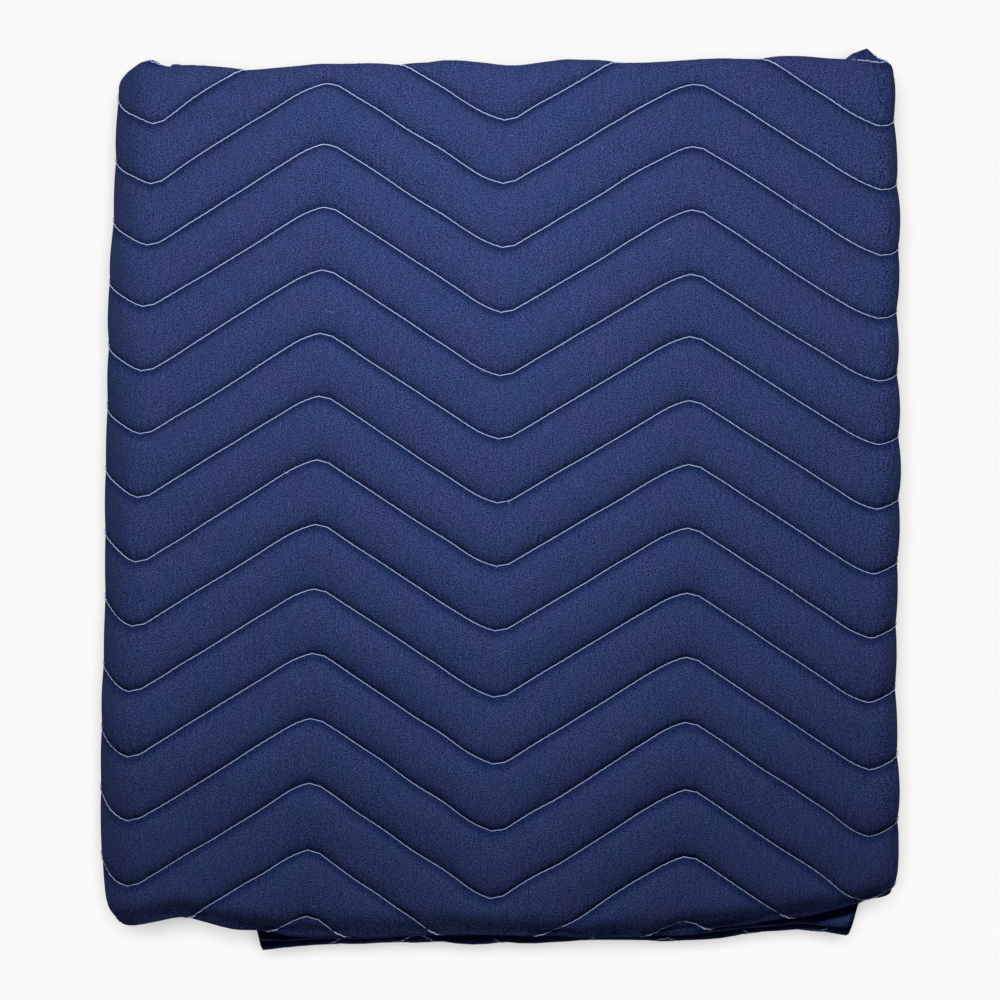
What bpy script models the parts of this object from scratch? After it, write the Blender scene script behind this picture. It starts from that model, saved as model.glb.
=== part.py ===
"""Quilted cushion mat, folded in four both ways into a flat packet.

Metres, +Z up. The packet lies flat on its outermost ply. The origin is under its middle, +X is
its width and +Y its depth. The mat is one sheet: it is first laid out flat, cut into faces along
its fold lines and its zigzag stitch lines, and then folded, first in its depth and then in its
width.
"""

import math
from collections import namedtuple

import bmesh
import bpy

Leg = namedtuple("Leg", "length turn radius pieces")
EdgePoint = namedtuple("EdgePoint", "across inset")
ZigzagCorner = namedtuple("ZigzagCorner", "across rise")

# The sheet and its stack of plies
PLY_THICKNESS = 0.0030
PLY_GAP = 0.0004
PLY_PITCH = PLY_THICKNESS + PLY_GAP
PACKET_THICKNESS = 4.0 * PLY_PITCH

# The folded mat as it lies, without the swellings of its quilting
FOLDED_WIDTH = 0.465
FOLDED_DEPTH = 0.512
OUTLINE_MIDDLE_Y = 0.0010

# The packet is a little narrower at its back on the left, and at its front on the right
LEFT_SIDE_LEAN = 0.004
RIGHT_SIDE_LEAN = 0.006

# The sheet's own four edges end a little inside the stack
UNDER_RUN_EDGE_INSET = 0.006
INNER_RUN_EDGE_INSET = 0.012
OUTER_PLY_EDGE_INSET = 0.005
INNER_PLY_EDGE_INSET = 0.009

# Each fold is a half turn, to the left or to the right of the way the sheet runs
LEFT_TURN = math.pi
RIGHT_TURN = -math.pi
BIG_TURN_PIECES = 8
SMALL_TURN_PIECES = 6

# Zigzag quilting: one row's corners, and its height above the row's own line
STITCH_ROW_SPACING = 0.03755
STITCH_LEAN = 0.018
FIRST_ROW_DEPTH = 0.1810
STITCH_ROWS = range(-4, 15)
ZIGZAG = (
    ZigzagCorner(-0.3185, 0.067),
    ZigzagCorner(-0.2115, 0.003),
    ZigzagCorner(-0.1075, 0.0625),
    ZigzagCorner(0.0, 0.0),
    ZigzagCorner(0.1095, 0.060),
    ZigzagCorner(0.2165, -0.0035),
    ZigzagCorner(0.3235, 0.057),
)

# The pad between two rows: where it is cut, in shares of their spacing, and how far it stands out
QUILT_CUTS = (0.0, 0.12, 0.5, 0.88)
QUILT_SWELL = 0.0030
QUILT_ROUNDNESS = 3.6
SWELL_VARIATION = 0.20
SWELL_WAVES_ACROSS = 23.0
SWELL_WAVES_DEEP = 17.0

# Over these lengths of sheet the swelling fades out where the ply turns under
LEFT_TURN_FADE = 0.030
RIGHT_TURN_FADE = 0.012
BACK_TURN_FADE = 0.010
FRONT_TURN_FADE = 0.004

# How far into the top ply its uneven front and back edges are felt
EDGE_REACH = 0.075

# Vertices nearer than this to a cut are taken to be on it
CUT_SNAP = 0.0008

CLOTH_COLOUR = (0.016, 0.026, 0.105, 1.0)
CLOTH_ROUGHNESS = 0.92
SMOOTH_ANGLE = math.radians(35.0)

# How far each front and back edge stands back from a straight line, from left to right
TOP_FRONT_EDGE = (
    EdgePoint(-0.235, 0.038),
    EdgePoint(-0.228, 0.018),
    EdgePoint(-0.221, 0.009),
    EdgePoint(-0.186, 0.013),
    EdgePoint(-0.155, 0.007),
    EdgePoint(-0.120, 0.000),
    EdgePoint(0.105, 0.000),
    EdgePoint(0.142, 0.006),
    EdgePoint(0.172, 0.012),
    EdgePoint(0.190, 0.019),
    EdgePoint(0.207, 0.024),
    EdgePoint(0.219, 0.027),
    EdgePoint(0.235, 0.038),
)
LOWER_FRONT_EDGE = (
    EdgePoint(-0.235, 0.038),
    EdgePoint(-0.228, 0.018),
    EdgePoint(-0.221, 0.009),
    EdgePoint(-0.186, 0.012),
    EdgePoint(-0.140, 0.005),
    EdgePoint(-0.136, -0.008),
    EdgePoint(-0.058, -0.005),
    EdgePoint(0.105, -0.005),
    EdgePoint(0.162, 0.002),
    EdgePoint(0.199, 0.003),
    EdgePoint(0.208, 0.020),
    EdgePoint(0.217, 0.026),
    EdgePoint(0.235, 0.038),
)
TOP_BACK_EDGE = (
    EdgePoint(-0.235, 0.032),
    EdgePoint(-0.229, 0.019),
    EdgePoint(-0.224, 0.011),
    EdgePoint(-0.214, 0.003),
    EdgePoint(-0.186, 0.005),
    EdgePoint(-0.142, 0.008),
    EdgePoint(-0.105, 0.004),
    EdgePoint(0.017, 0.004),
    EdgePoint(0.044, 0.000),
    EdgePoint(0.207, 0.000),
    EdgePoint(0.222, 0.003),
    EdgePoint(0.235, 0.012),
)
LOWER_BACK_EDGE = (
    EdgePoint(-0.235, 0.032),
    EdgePoint(-0.229, 0.019),
    EdgePoint(-0.224, 0.011),
    EdgePoint(-0.186, 0.004),
    EdgePoint(0.199, 0.002),
    EdgePoint(0.208, -0.005),
    EdgePoint(0.217, -0.009),
    EdgePoint(0.226, -0.004),
    EdgePoint(0.235, 0.012),
)


class FoldedLine:
    """A line of straight runs and half turns, which gives the place of each point along it."""

    def __init__(self, start, heading, legs):
        self.legs = []
        self.ends = [0.0]
        place = start
        for leg in legs:
            self.legs.append((leg, place, heading))
            self.ends.append(self.ends[-1] + leg.length)
            place, heading = self.after(leg, place, heading, leg.length)
        self.length = self.ends[-1]

    @staticmethod
    def after(leg, place, heading, distance):
        """Place and heading after some distance along one leg."""
        if not leg.turn:
            across = place[0] + distance * math.cos(heading)
            up = place[1] + distance * math.sin(heading)
            return (across, up), heading
        new_heading = heading + leg.turn * distance / leg.length
        reach = math.copysign(leg.radius, leg.turn)
        across = place[0] + reach * (math.sin(new_heading) - math.sin(heading))
        up = place[1] - reach * (math.cos(new_heading) - math.cos(heading))
        return (across, up), new_heading

    def leg_at(self, along):
        """The number of the leg that holds a point."""
        for number, end in enumerate(self.ends[1:]):
            if along < end:
                return number
        return len(self.legs) - 1

    def at(self, along):
        """Place of a point, and the direction to the line's left there."""
        number = self.leg_at(along)
        leg, place, heading = self.legs[number]
        place, heading = self.after(leg, place, heading, along - self.ends[number])
        return place, (-math.sin(heading), math.cos(heading))

    def cuts(self):
        """Where the sheet is cut so that each piece of it stays flat."""
        places = []
        for number, (leg, _, _) in enumerate(self.legs):
            for piece in range(leg.pieces):
                places.append(self.ends[number] + leg.length * piece / leg.pieces)
        return places[1:]


def run(length):
    """A straight leg."""
    return Leg(length, 0.0, 0.0, 1)


def half_turn(radius, turn, pieces):
    """A leg that turns back on itself."""
    return Leg(math.pi * radius, turn, radius, pieces)


# The fold in the depth: an under ply, back turn, top ply, front turn, and two plies between them
BACK_TURN_Y = FOLDED_DEPTH / 2 - 2.0 * PLY_PITCH
FRONT_TURN_Y = PLY_PITCH - FOLDED_DEPTH / 2
PLY_RUN = BACK_TURN_Y - FRONT_TURN_Y
DEPTH_FOLD = FoldedLine(
    start=(OUTER_PLY_EDGE_INSET - FOLDED_DEPTH / 2, 0.5 * PLY_PITCH),
    heading=0.0,
    legs=(
        run(BACK_TURN_Y + FOLDED_DEPTH / 2 - OUTER_PLY_EDGE_INSET),
        half_turn(1.5 * PLY_PITCH, LEFT_TURN, SMALL_TURN_PIECES),
        run(PLY_RUN),
        half_turn(0.5 * PLY_PITCH, LEFT_TURN, SMALL_TURN_PIECES),
        run(PLY_RUN),
        half_turn(0.5 * PLY_PITCH, RIGHT_TURN, SMALL_TURN_PIECES),
        run(BACK_TURN_Y + FOLDED_DEPTH / 2 - INNER_PLY_EDGE_INSET),
    ),
)
BACK_TURN_START, TOP_PLY_START, FRONT_TURN_START, FRONT_TURN_END = DEPTH_FOLD.ends[1:5]

# The fold in the width: the packet runs under, over the top, and back in twice between them
LEFT_TURN_X = 2.0 * PACKET_THICKNESS - FOLDED_WIDTH / 2
RIGHT_TURN_X = FOLDED_WIDTH / 2 - PACKET_THICKNESS
PACKET_RUN = RIGHT_TURN_X - LEFT_TURN_X
TOP_RUN = 2
WIDTH_FOLD = FoldedLine(
    start=(FOLDED_WIDTH / 2 - UNDER_RUN_EDGE_INSET, 0.5 * PACKET_THICKNESS - 0.5 * PLY_GAP),
    heading=math.pi,
    legs=(
        run(FOLDED_WIDTH / 2 - UNDER_RUN_EDGE_INSET - LEFT_TURN_X),
        half_turn(1.5 * PACKET_THICKNESS, RIGHT_TURN, BIG_TURN_PIECES),
        run(PACKET_RUN),
        half_turn(0.5 * PACKET_THICKNESS, RIGHT_TURN, SMALL_TURN_PIECES),
        run(PACKET_RUN),
        half_turn(0.5 * PACKET_THICKNESS, LEFT_TURN, SMALL_TURN_PIECES),
        run(FOLDED_WIDTH / 2 - INNER_RUN_EDGE_INSET - LEFT_TURN_X),
    ),
)
LEFT_TURN_START, TOP_RUN_START, RIGHT_TURN_START, RIGHT_TURN_END = WIDTH_FOLD.ends[1:5]

SHEET_WIDTH = WIDTH_FOLD.length
SHEET_LENGTH = DEPTH_FOLD.length


def limited(share):
    """A share kept between 0 and 1."""
    return min(max(share, 0.0), 1.0)


def smooth_step(share):
    """0 to 1 with level ends."""
    share = limited(share)
    return share * share * (3.0 - 2.0 * share)


def inset_at(edge, across):
    """The inset of an uneven edge at one place across the mat."""
    for left, right in zip(edge, edge[1:]):
        if across <= right.across:
            share = limited((across - left.across) / (right.across - left.across))
            return left.inset + share * (right.inset - left.inset)
    return edge[-1].inset


def top_run_share(along):
    """1 on the packet's top run, 0 on the other runs, and in between around its two turns."""
    rising = (along - LEFT_TURN_START) / (TOP_RUN_START - LEFT_TURN_START)
    falling = (RIGHT_TURN_END - along) / (RIGHT_TURN_END - RIGHT_TURN_START)
    return min(limited(rising), limited(falling))


def edge_shift(along, row, across, depth):
    """How far the uneven front and back edges move a point of the folded mat."""
    top = top_run_share(along)
    front = inset_at(LOWER_FRONT_EDGE, across) * (1.0 - top) + inset_at(TOP_FRONT_EDGE, across) * top
    back = inset_at(LOWER_BACK_EDGE, across) * (1.0 - top) + inset_at(TOP_BACK_EDGE, across) * top
    front_share = limited((BACK_TURN_Y - depth) / PLY_RUN)
    back_share = 1.0 - front_share
    if top > 0.0 and TOP_PLY_START < row < FRONT_TURN_START:
        front_share = 1.0 - smooth_step(back_share * PLY_RUN / EDGE_REACH)
        back_share = 1.0 - smooth_step((BACK_TURN_Y - depth) / EDGE_REACH)
    return front * front_share - back * back_share


def side_shift(across, depth):
    """How far the leaning left and right sides move a point of the folded mat."""
    right_share = limited(0.5 + across / FOLDED_WIDTH)
    back_share = limited(0.5 + depth / FOLDED_DEPTH)
    left = LEFT_SIDE_LEAN * back_share * (1.0 - right_share)
    right = RIGHT_SIDE_LEAN * (1.0 - back_share) * right_share
    return left - right


def top_face_place(along, row):
    """A sheet point in the top face's own width and depth, rolled out flat past its turns."""
    return LEFT_TURN_X + along - TOP_RUN_START, BACK_TURN_Y + TOP_PLY_START - row


def sheet_place(across, depth):
    """The sheet point at a place of the rolled-out top face."""
    return across - LEFT_TURN_X + TOP_RUN_START, BACK_TURN_Y + TOP_PLY_START - depth


def zigzag_place(corner, rows_down):
    """The sheet point of one zigzag corner, some number of rows below the first row."""
    depth = FIRST_ROW_DEPTH + corner.rise - rows_down * STITCH_ROW_SPACING
    return sheet_place(corner.across + STITCH_LEAN * depth, depth)


def rows_down_at(across, depth):
    """How many rows a place of the top face is below the first zigzag row."""
    straight = across - STITCH_LEAN * depth
    for left, right in zip(ZIGZAG, ZIGZAG[1:]):
        if straight <= right.across:
            break
    share = limited((straight - left.across) / (right.across - left.across))
    rise = left.rise + share * (right.rise - left.rise)
    return (FIRST_ROW_DEPTH + rise - depth) / STITCH_ROW_SPACING


def swell(along, row):
    """How far the pad between the stitch lines stands out from them."""
    across, depth = top_face_place(along, row)
    rows_down = rows_down_at(across, depth)
    from_line = 2.0 * abs(rows_down - round(rows_down))
    puff = 1.0 - (1.0 - from_line) ** QUILT_ROUNDNESS
    waves = math.sin(SWELL_WAVES_ACROSS * across) * math.cos(SWELL_WAVES_DEEP * depth)
    fade = smooth_step((along - LEFT_TURN_START) / LEFT_TURN_FADE)
    fade *= smooth_step((RIGHT_TURN_END - along) / RIGHT_TURN_FADE)
    fade *= smooth_step((row - BACK_TURN_START) / BACK_TURN_FADE)
    fade *= smooth_step((FRONT_TURN_END - row) / FRONT_TURN_FADE)
    return QUILT_SWELL * puff * (1.0 + SWELL_VARIATION * waves) * fade


def folded_place(along, row, side):
    """Where a sheet point goes in the folded mat, side metres to the left of the sheet's middle."""
    (depth, height), (left_depth, left_height) = DEPTH_FOLD.at(row)
    depth += side * left_depth
    lift = height + side * left_height - PACKET_THICKNESS / 2
    (middle_across, middle_up), (left_across, left_up) = WIDTH_FOLD.at(along)
    across = middle_across + lift * left_across
    shifted_depth = depth + edge_shift(along, row, middle_across, depth) - OUTLINE_MIDDLE_Y
    return across + side_shift(across, depth), shifted_depth, middle_up + lift * left_up


def cut(sheet, faces, through, normal):
    """Cuts faces of the flat sheet along an upright plane, and returns all their pieces."""
    edges = {edge for face in faces for edge in face.edges}
    corners = {corner for face in faces for corner in face.verts}
    result = bmesh.ops.bisect_plane(
        sheet,
        geom=list(faces) + list(edges) + list(corners),
        dist=CUT_SNAP,
        plane_co=(through[0], through[1], 0.0),
        plane_no=(normal[0], normal[1], 0.0),
    )
    return [piece for piece in result["geom"] if isinstance(piece, bmesh.types.BMFace)]


def edge_cuts():
    """Places along the sheet where an uneven front or back edge has a corner."""
    places = []
    for number, (leg, (start, _), heading) in enumerate(WIDTH_FOLD.legs):
        edges = (LOWER_FRONT_EDGE, LOWER_BACK_EDGE)
        if number == TOP_RUN:
            edges = (TOP_FRONT_EDGE, TOP_BACK_EDGE)
        for point in edges[0] + edges[1]:
            distance = (point.across - start) * math.cos(heading)
            if not leg.turn and 2.0 * CUT_SNAP < distance < leg.length - 2.0 * CUT_SNAP:
                places.append(WIDTH_FOLD.ends[number] + distance)
    return places


def flat_sheet():
    """The sheet laid out flat, cut along its fold lines."""
    sheet = bmesh.new()
    bmesh.ops.create_cube(sheet, size=1.0)
    for corner in sheet.verts:
        corner.co.x = (corner.co.x + 0.5) * SHEET_WIDTH
        corner.co.y = (corner.co.y + 0.5) * SHEET_LENGTH
        corner.co.z *= PLY_THICKNESS
    for along in WIDTH_FOLD.cuts() + edge_cuts():
        cut(sheet, sheet.faces[:], (along, 0.0), (1.0, 0.0))
    for row in DEPTH_FOLD.cuts():
        cut(sheet, sheet.faces[:], (0.0, row), (0.0, 1.0))
    return sheet


def is_outer(along, row, side):
    """Whether a sheet point is on the outside of the packet's top run or of its two turns."""
    return (
        side < -0.49 * PLY_THICKNESS
        and LEFT_TURN_START < along < RIGHT_TURN_END
        and BACK_TURN_START < row < FRONT_TURN_END
    )


def quilt(sheet):
    """Cuts the outside of the top run along the zigzag rows and the swellings between them."""
    outside = [face for face in sheet.faces if is_outer(*face.calc_center_median())]
    for left, right in zip(ZIGZAG, ZIGZAG[1:]):
        outside = cut(sheet, outside, zigzag_place(right, 0.0), (1.0, STITCH_LEAN))
        band = []
        for face in outside:
            middle = face.calc_center_median()
            across, depth = top_face_place(middle.x, middle.y)
            if left.across < across - STITCH_LEAN * depth < right.across:
                band.append(face)
        outside = [face for face in outside if face not in set(band)]
        for row in STITCH_ROWS:
            for share in QUILT_CUTS:
                start = zigzag_place(left, row + share)
                end = zigzag_place(right, row + share)
                band = cut(sheet, band, start, (end[1] - start[1], start[0] - end[0]))


def fold(sheet):
    """Swells the quilting and folds the flat sheet into the packet."""
    for corner in sheet.verts:
        along, row, side = corner.co
        if is_outer(along, row, side):
            side -= swell(along, row)
        corner.co = folded_place(along, row, side)


def cloth():
    """Navy cloth."""
    material = bpy.data.materials.new("navy_cloth")
    material.use_nodes = True
    shader = material.node_tree.nodes["Principled BSDF"]
    shader.inputs["Base Color"].default_value = CLOTH_COLOUR
    shader.inputs["Roughness"].default_value = CLOTH_ROUGHNESS
    shader.inputs["Metallic"].default_value = 0.0
    return material


def make_mat():
    """The folded mat as one solid."""
    sheet = flat_sheet()
    quilt(sheet)
    bmesh.ops.triangulate(sheet, faces=sheet.faces[:], quad_method="BEAUTY", ngon_method="BEAUTY")
    fold(sheet)
    if sheet.calc_volume(signed=True) < 0.0:
        bmesh.ops.reverse_faces(sheet, faces=sheet.faces[:])
    mesh = bpy.data.meshes.new("quilted_mat")
    sheet.to_mesh(mesh)
    sheet.free()
    mesh.shade_smooth()
    mesh.set_sharp_from_angle(angle=SMOOTH_ANGLE)
    mesh.materials.append(cloth())
    mat = bpy.data.objects.new("quilted_mat", mesh)
    bpy.context.collection.objects.link(mat)


for leftover in list(bpy.data.objects):
    bpy.data.objects.remove(leftover, do_unlink=True)
make_mat()
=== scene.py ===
"""Looks of the folded quilted mat: its cloth and quilting, its thread, the floor, light and camera.

Metres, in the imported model's own frame: +Z up from the floor, +Y towards the back of the packet,
+X to its right. The mat is one sheet of quilted cloth. It is laid out flat, with close rows of
points along its zigzag stitch lines wherever its quilting shows, then swelled between those
lines, folded in its depth and its width, and settled by small smooth shifts. Swelled folds that
press on each other at the front cut into each other there by up to about 0.7 mm, out of sight.
"""

import math
from collections import namedtuple

import bmesh
import bpy
import numpy as np
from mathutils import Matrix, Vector, noise


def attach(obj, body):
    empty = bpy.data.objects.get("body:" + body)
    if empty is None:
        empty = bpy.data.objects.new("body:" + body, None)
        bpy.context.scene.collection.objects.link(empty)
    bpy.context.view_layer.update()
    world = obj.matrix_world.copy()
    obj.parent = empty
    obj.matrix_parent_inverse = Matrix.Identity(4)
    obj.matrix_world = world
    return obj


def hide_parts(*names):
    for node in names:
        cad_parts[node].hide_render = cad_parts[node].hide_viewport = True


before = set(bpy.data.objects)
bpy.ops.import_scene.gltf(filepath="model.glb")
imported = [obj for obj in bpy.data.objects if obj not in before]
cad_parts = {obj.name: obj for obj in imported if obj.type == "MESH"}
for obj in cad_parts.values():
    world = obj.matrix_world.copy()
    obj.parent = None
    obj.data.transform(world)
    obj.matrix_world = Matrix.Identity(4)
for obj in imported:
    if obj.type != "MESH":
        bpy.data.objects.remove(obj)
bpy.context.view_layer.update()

Leg = namedtuple("Leg", "length turn radius pieces")
Station = namedtuple("Station", "place amount")
Ripple = namedtuple("Ripple", "amount across along seed")


def stations(*rows):
    """A table of places, with the amount at each."""
    return tuple(Station(*row) for row in rows)


# The sheet and its stack of plies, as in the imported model
PLY_THICKNESS = 0.003
PLY_GAP = 0.0004
PLY_PITCH = PLY_THICKNESS + PLY_GAP
PACKET_THICKNESS = 4.0 * PLY_PITCH
OUTER_SIDE = -PLY_THICKNESS / 2
INNER_SIDE = PLY_THICKNESS / 2

# The folded mat as it lies, without the swellings of its quilting
HALF_WIDTH = 0.465 / 2
HALF_DEPTH = 0.512 / 2
OUTLINE_MIDDLE_Y = 0.001

# The sheet's own four edges end a little inside the stack
UNDER_RUN_EDGE_INSET = 0.006
INNER_RUN_EDGE_INSET = 0.012
OUTER_PLY_EDGE_INSET = 0.005
INNER_PLY_EDGE_INSET = 0.009
RIM_BULGE = 0.0009

# Each fold is a half turn, to the left or to the right of the way the sheet runs. Its radius, in
# plies or packets, is wide round two others and tight where it turns straight back.
LEFT_TURN = math.pi
RIGHT_TURN = -math.pi
WIDE_RADIUS = 1.5
TIGHT_RADIUS = 0.5
BIG_TURN_PIECES = 14
SMALL_TURN_PIECES = 8

# The sewing machine bends a row gradually into each corner, and out of it over a short shoulder.
# At the corner itself, both sides have these shares of the row's full slope.
CORNER_APPROACH = 0.017
SHORT_APPROACH = 0.008
LONG_SHOULDER = 0.0074
CORNER_SHOULDER = 0.007
SHORT_SHOULDER = 0.004
APPROACH_SLOPE = 0.36
SHOULDER_SLOPE = 0.34

# Zigzag quilting: one row's corners, and its height above the row's own line
USUAL_BENDS = (CORNER_APPROACH, CORNER_SHOULDER)
ZigzagCorner = namedtuple("ZigzagCorner", "across rise approach shoulder", defaults=USUAL_BENDS)
STITCH_ROW_SPACING = 0.03755
STITCH_LEAN = 0.018
FIRST_ROW_DEPTH = 0.181
ZIGZAG = (
    ZigzagCorner(-0.3185, 0.067),
    ZigzagCorner(-0.2115, 0.003, SHORT_APPROACH),
    ZigzagCorner(-0.1075, 0.0625),
    ZigzagCorner(-0.0012, 0.0, shoulder=LONG_SHOULDER),
    ZigzagCorner(0.1095, 0.06),
    ZigzagCorner(0.2175, -0.0035, shoulder=SHORT_SHOULDER),
    ZigzagCorner(0.3235, 0.057),
)
ZIGZAG_WIDTH = ZIGZAG[-1].across - ZIGZAG[0].across
ZIGZAG_ROWS = range(-4, 16)
ZIGZAG_REPEATS = range(-3, 4)

# How far each front and back edge stands back from a straight line, from left to right
EDGE_SOFTNESS = 0.005
LOWER_EDGE_SOFTNESS = 0.0015
FRONT_LEFT_CORNER = (
    (-0.235, 0.026), (-0.2295, 0.013), (-0.2265, 0.0045), (-0.219, 0.004),
)
TOP_FRONT_EDGE = stations(
    *FRONT_LEFT_CORNER,
    (-0.186, 0.011), (-0.155, 0.004), (-0.12, 0.0), (0.105, 0.0),
    (0.142, 0.006), (0.172, 0.01), (0.19, 0.014), (0.207, 0.017),
    (0.214, 0.02), (0.224, 0.0215), (0.235, 0.0225),
)
LOWER_FRONT_EDGE = stations(
    *FRONT_LEFT_CORNER,
    (-0.186, 0.01), (-0.1418, 0.004), (-0.14, -0.009), (-0.058, -0.005),
    (0.105, -0.005), (0.162, 0.002), (0.175, 0.002), (0.192, -0.0005),
    (0.2045, -0.002), (0.208, 0.008), (0.211, 0.017), (0.217, 0.021),
    (0.235, 0.023),
)
TOP_BACK_EDGE = stations(
    (-0.235, 0.012), (-0.2275, 0.0035), (-0.216, -0.005), (-0.2115, -0.007),
    (-0.206, 0.0005), (-0.201, 0.001), (-0.186, 0.001), (-0.142, 0.004),
    (-0.105, 0.0), (0.017, 0.0), (0.04, -0.005), (0.1, -0.001),
    (0.13, -0.002), (0.165, -0.004), (0.207, -0.004), (0.224, -0.003),
    (0.235, 0.004),
)
LOWER_BACK_EDGE = stations(
    (-0.235, 0.015), (-0.229, 0.007), (-0.222, 0.004), (-0.2035, 0.004),
    (-0.1985, -0.0035), (-0.1905, -0.003), (-0.185, 0.004), (0.201, 0.0),
    (0.21, -0.008), (0.2195, -0.0135), (0.229, -0.006), (0.235, 0.004),
)

# How far the left and right sides stand back from a straight line, from front to back
LEFT_EDGE = stations(
    (-0.256, 0.004), (-0.235, 0.0015), (-0.215, -0.0005), (-0.15, -0.001),
    (-0.08, -0.0005), (0.06, -0.001), (0.125, -0.0005), (0.155, 0.001),
    (0.185, 0.002), (0.225, 0.003), (0.256, 0.004),
)
RIGHT_EDGE = stations(
    (-0.256, 0.0015), (-0.22, 0.0015), (-0.06, 0.001), (0.0, -0.0015),
    (0.08, -0.003), (0.14, -0.0045), (0.185, -0.004), (0.225, -0.0035),
    (0.256, -0.0025),
)

# The rows aren't quite even: how far they stand back near the back edge, and forward near the
# front one, from left to right, and over what depths that fades out
ROWS_BACK = stations(
    (-0.235, -0.004), (-0.212, -0.003), (-0.19, 0.0), (-0.03, 0.0),
    (0.0, 0.0034), (0.03, 0.0056), (0.085, 0.004), (0.11, 0.0012),
    (0.14, 0.0046), (0.19, 0.0058), (0.22, 0.0046),
)
ROWS_FORWARD = stations(
    (-0.2, 0.0), (-0.13, 0.0018), (-0.105, 0.0006), (-0.08, 0.0022),
    (-0.03, 0.0034), (0.0, 0.004), (0.03, 0.0022), (0.165, 0.002),
    (0.192, 0.0), (0.215, 0.002),
)
ROWS_BACK_START = 0.105
ROWS_FORWARD_START = -0.1
ROWS_DRIFT_LENGTH = 0.14

# How much longer the outside of each fold is than the middle of the sheet
LEFT_STRETCH = 1.33
RIGHT_STRETCH = 1.45
BACK_STRETCH = 1.29
FRONT_STRETCH = 2.6

# The top packet thins towards its front fold, as if rolled over it
FRONT_ROLL = 0.013
FRONT_ROLL_THINS = 0.42

# How far into the top ply its uneven edges are felt
EDGE_REACH = 0.075
SIDE_REACH = 0.07

# How many steps the searches for a row's depth, and for its place on the sheet, take to close in
REPEATS_TO_FIND_A_ROW = 5
REPEATS_TO_PLACE_A_ROW = 12

# The pad between two stitch rows: its crown, and the shares of the spacing where it has points
PUFF_HEIGHT = 0.0066
PUFF_ROUNDNESS = 2.0
PUFF_FULLNESS = 0.66
SEAM_FLAT = 0.028
PUFF_SHARES = (0.014, 0.034, 0.062, 0.1, 0.155, 0.23, 0.33, 0.44)
PUFF_VARIATION = Ripple(0.22, 0.06, 0.045, 3.37)
PAD_LUMPS = Ripple(0.00045, 0.024, 0.017, 7.71)
SEAM_CREASES = Ripple(0.00055, 0.0065, 0.022, 11.43)
SEAM_CREASE_START = 0.04
SEAM_CREASE_REACH = 0.3
NOSE_PUFF = 0.0014

# Over these lengths of sheet the pad flattens where the cloth is stretched round a fold
LEFT_TURN_KEEPS = 0.08
LEFT_TURN_FADE = 0.03
RIGHT_TURN_KEEPS = 0.09
RIGHT_TURN_FADE = 0.012
BACK_TURN_FADE = 0.03
FRONT_TURN_FADE = 0.012

# The stitch rows wander a little, as if fed to the machine by hand
ROW_WANDER = Ripple(0.001, 0.085, 0.06, 17.13)
ROW_WOBBLE = Ripple(0.0004, 0.02, 0.02, 23.91)

# How the loose stack settles: it thins towards its edges, waves on top, and its plies slip a little
FRONT_DROOP = 0.075
BACK_DROOP = 0.03
SIDE_DROOP = 0.025
DROOP_LENGTH = 0.11
TOP_WAVES = Ripple(0.03, 0.13, 0.11, 29.57)
TOP_DIMPLES = Ripple(0.012, 0.05, 0.045, 31.19)
DEPTH_SLIP = Ripple(0.003, 0.075, 0.017, 37.41)
DEPTH_CRIMP = Ripple(0.0012, 0.022, 0.009, 41.83)
WIDTH_SLIP = Ripple(0.0022, 0.085, 0.019, 43.27)
SLIP_START = 0.09
SLIP_LENGTH = 0.13

# Spacing of the sheet's points where it shows, with some columns to trim off, and where it is hidden
COLUMN_STEP = 0.0025
SPARE_COLUMNS = 3.0
HIDDEN_COLUMN_STEP = 0.009
NEAR_TURN = (0.003, 0.008, 0.016, 0.035)
HIDDEN_ROW_STEP = 0.11
TRIM_SNAP = 0.00002

# Places across the mat with a line of points of their own, where the lower packets' edges step
EXTRA_COLUMNS = (
    -0.2035, -0.1985, -0.1905, -0.185,
    -0.1433, -0.1418, -0.14, -0.1385,
    0.203, 0.2045, 0.2062, 0.208, 0.211, 0.2195,
)

# Quilting thread
THREAD_RADIUS = 0.00024
THREAD_SIDES = 5
STITCH_LENGTH = 0.0048
SHOULDER_STITCH = 0.007
STITCH_SHARES = (0.0, 0.25, 0.5, 0.75, 0.93)
STITCH_SKEW = 0.00022
STITCH_LOW = 0.0001
STITCH_HIGH = 0.0006
THREAD_WANDER = Ripple(0.0002, 0.016, 0.016, 47.63)
FEWEST_POINTS = 3
ROW_END_MARGIN = 0.0005
BARE_PARTS_OF_FADE = 3
NOSE_THREAD_REACH = 0.004
BACK_THREAD_END = 0.185

# Loose ends: thread loops that stand up from a row, and lint on the cloth
LOOPS = 7
LOOP_ROWS = (1.0, 12.0)
LOOP_PLACES = (-0.2, 0.21)
LOOP_RADII = (0.00096, 0.00224)
LOOP_ANGLE = 1.3 * math.pi
LOOP_RISE = 0.35
LOOP_FOOT = 0.0009
LOOP_THREAD_RADIUS = 0.00007
LINT_FIBRES = 16
LINT_RADIUS = 0.000035
LINT_LENGTHS = (0.0018, 0.0054)
LINT_BEND = 1.5
FIBRE_PIECES = 12

# Random shares: one seed for all, and the numbers of what each of them sets
SEED = 20.27
LOOP_ROW = 1.0
LOOP_PLACE = 2.0
LOOP_HEADING = 3.0
LOOP_SIZE = 4.0
LINT_ALONG = 5.0
LINT_ROW = 6.0
LINT_HEADING = 7.0
LINT_CURL = 8.0
LINT_REACH = 9.0

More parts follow.
